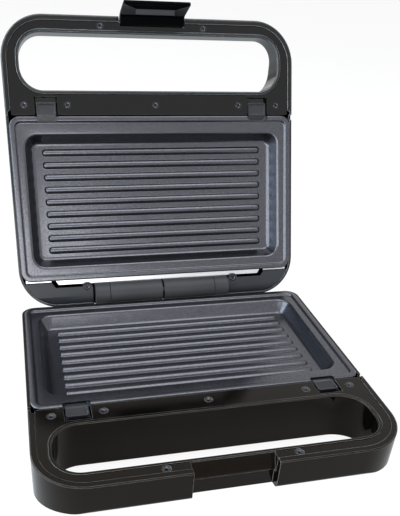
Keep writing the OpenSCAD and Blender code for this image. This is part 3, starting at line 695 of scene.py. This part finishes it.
def addRibbedFloor(shape, s, ring):
    middle = (s["trayRear"] + s["trayFront"]) / 2
    rows = []
    for i in range(s["ribs"]):
        crest = middle + (i - (s["ribs"] - 1) / 2) * s["ribPitch"]
        rows += [crest - d for d in reversed(s["ribRows"])] + [crest + d for d in s["ribRows"][1:]]
    rows = sorted(set(round(y, 3) for y in rows))
    columns = [-x for x in s["ribColumns"]] + [0] + list(reversed(s["ribColumns"]))
    across, along = len(columns) - 1, len(rows) - 1
    grid = bmesh.ops.create_grid(shape, x_segments=across, y_segments=along, size=0.5)["verts"]
    for vert in grid:
        x = columns[round((vert.co.x + 0.5) * across)]
        y = rows[round((vert.co.y + 0.5) * along)]
        vert.co = (x, y, -s["trayDepth"] + ribHeight(s, x, y))
    inside = set(grid)
    rim = [e for e in shape.edges if e.is_boundary and e.verts[0] in inside]
    bmesh.ops.triangle_fill(shape, edges=rim + ringEdges(shape, ring), use_beauty=True)


def notchCutter(side, s):
    cutter = bmesh.new()
    corners = [cutter.verts.new((side * s["notchAt"] + x, y, s["notchFloor"])) for x, y in s["notch"]]
    upward = bmesh.ops.extrude_face_region(cutter, geom=[cutter.faces.new(corners)])["geom"]
    raised = [v for v in upward if isinstance(v, bmesh.types.BMVert)]
    bmesh.ops.translate(cutter, verts=raised, vec=(0, 0, s["notchHigh"]))
    return cutter


def makeGrillPlate(half, s):
    shape = bmesh.new()
    (kind, inset, depth), *others = plateLoops(s)
    first = startRing(shape, loopPoints(s, kind, inset), depth)
    ring = first
    for kind, inset, depth in others:
        ring = growRing(shape, ring, loopPoints(s, kind, inset), depth)
    addRibbedFloor(shape, s, ring)
    ring = first
    for kind, inset, depth in panLoops(s):
        ring = growRing(shape, ring, loopPoints(s, kind, inset), depth)
    shape.faces.new(ring)
    cleanShape(shape)
    cutAway(shape, [notchCutter(side, s) for side in (-1, 1)])
    markSharp(shape)
    cleanShape(shape)
    finishPiece(half + "GrillPlate", shape, places[half], half, "plate_coating", half + "_grill_plate")


for half in places:
    makeGrillPlate(half, plateSettings)
print("grill plates made")


# screws, drawn upright with the top of the head at 0.9

screwSettings = {
    "profile": [(0, 0.6), (1.65, 0.64), (1.95, 0.72), (2.2, 0.86), (2.42, 0.9), (2.6, 0.82), (2.71, 0.62),
                (2.75, 0.35), (2.75, -0.42), (2.66, -0.5), (1.3, -0.5)],
    "shankRadius": 1.12, "threadRadius": 1.25, "pitch": 0.9, "crestAt": 0.35, "rootAt": 0.7,
    "shankTop": -0.9, "shankEnd": -7.2, "tipRadius": 0.6, "tipStart": 0.3, "tip": 0.5, "sides": 28,
    "armLong": 4.1, "armWide": 1.3, "armTop": 1.1, "armFloor": -1.0, "armTaper": 0.5, "armNarrow": 0.2,
    "firstTurn": 17, "nextTurn": 47,
}
# the frames' screws: a row beside the plate, and a pair in the bar of the handle
rowPlace, barPlace = 181.5, 252.3
frameSpots = [(x, rowPlace) for x in (-125.45, 125.45, -85.14, 85.14, 0)]
frameSpots += [(x, barPlace) for x in (-50.18, 50.18)]
# spots are x and y of the heads; tilt turns them about x
screwGroups = {
    "baseFrameScrews": {"node": "base_frame_screws", "half": "base", "spots": frameSpots,
                        "z": -2.1, "tilt": 0},
    "lidFrameScrews": {"node": "lid_frame_screws", "half": "lid", "spots": frameSpots,
                       "z": -2.1, "tilt": 0},
    "lidDeckScrews": {"node": "lid_deck_screws", "half": "lid", "spots": [(-77, 7.6), (77, 7.6)],
                      "z": -2.8, "tilt": 0},
    "baseBottomScrews": {"node": "base_bottom_screws", "half": "base",
                         "spots": [(-88, 26), (88, 26), (-60, 168), (60, 168)], "z": -44.5, "tilt": 180},
    "hingeScrews": {"node": "hinge_screws", "half": "base",
                    "spots": [(-42, 8.3), (-14, 8.3), (14, 8.3), (42, 8.3)], "z": -28, "tilt": 90},
}


def crossArm(turn, s):
    arm = bmesh.new()
    bmesh.ops.create_cube(arm, size=1)
    for vert in arm.verts:
        low = vert.co.z < 0
        long = s["armLong"] * (s["armTaper"] if low else 1)
        wide = s["armWide"] * (s["armNarrow"] if low else 1)
        vert.co = (vert.co.x * long, vert.co.y * wide, s["armFloor"] if low else s["armTop"])
    bmesh.ops.rotate(arm, verts=arm.verts, matrix=Matrix.Rotation(math.radians(turn), 3, "Z"))
    return arm


def screwMesh(s):
    # the head and the threaded shank are one outline, turned round z
    shape = bmesh.new()
    outline = list(s["profile"])
    z = s["shankTop"]
    while z > s["shankEnd"]:
        outline += [(s["shankRadius"], z), (s["threadRadius"], z - s["pitch"] * s["crestAt"]),
                    (s["shankRadius"], z - s["pitch"] * s["rootAt"])]
        z -= s["pitch"]
    outline += [(s["shankRadius"] * s["tipRadius"], z - s["tipStart"]), (0, z - s["tip"])]
    line = [shape.verts.new((r, 0, z)) for r, z in outline]
    path = [shape.edges.new(pair) for pair in zip(line, line[1:])]
    bmesh.ops.spin(shape, geom=line + path, cent=(0, 0, 0), axis=(0, 0, 1), angle=math.tau,
                   steps=s["sides"], use_merge=True)
    cleanShape(shape)
    cutAway(shape, [crossArm(turn, s) for turn in (0, 90)])
    markSharp(shape)
    mesh = bpy.data.meshes.new("screwShape")
    shape.to_mesh(mesh)
    shape.free()
    return mesh


def makeScrews(name, mesh, group, s):
    shape = bmesh.new()
    tilt = Matrix.Rotation(math.radians(group["tilt"]), 4, "X")
    for i, (x, y) in enumerate(group["spots"]):
        spin = Matrix.Rotation(math.radians(s["firstTurn"] + s["nextTurn"] * i), 4, "Z")
        one = mesh.copy()
        one.transform(Matrix.Translation((x, y, group["z"])) @ tilt @ spin)
        shape.from_mesh(one)
        bpy.data.meshes.remove(one)
    node = group["node"]
    finishPiece(name, shape, places[group["half"]], cad[node]["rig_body"], slotOf[node], node)


oneScrew = screwMesh(screwSettings)
for name, group in screwGroups.items():
    makeScrews(name, oneScrew, group, screwSettings)
print("screws made")


# return springs of the release clips

springSettings = {
    "across": 105.2, "from": 177.3, "to": 190.7, "depth": -8.4, "radius": 1.7, "wire": 0.35, "wireSides": 8,
    "turns": 6, "stepsPerTurn": 16, "travel": 4.7,
}


def makeSpring(half, side, word, s):
    shape = bmesh.new()
    bmesh.ops.create_circle(shape, radius=s["wire"], segments=s["wireSides"])
    bmesh.ops.translate(shape, verts=shape.verts, vec=(s["radius"], s["from"], 0))
    steps = s["turns"] * s["stepsPerTurn"]
    bmesh.ops.spin(shape, geom=shape.verts[:] + shape.edges[:], cent=(0, 0, 0), axis=(0, 1, 0),
                   dvec=(0, (s["to"] - s["from"]) / steps, 0), angle=math.tau * s["turns"], steps=steps)
    bmesh.ops.holes_fill(shape, edges=[e for e in shape.edges if e.is_boundary], sides=s["wireSides"])
    bmesh.ops.translate(shape, verts=shape.verts, vec=(side * s["across"], 0, s["depth"]))
    cleanShape(shape)
    replaced = f"{half}_spring_{word.lower()}"
    piece = finishPiece(f"{half}Spring{word}", shape, places[half], half, "spring_steel", replaced)
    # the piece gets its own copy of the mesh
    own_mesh(piece)


for half in places:
    makeSpring(half, -1, "Left", springSettings)
    makeSpring(half, 1, "Right", springSettings)
print("springs made")
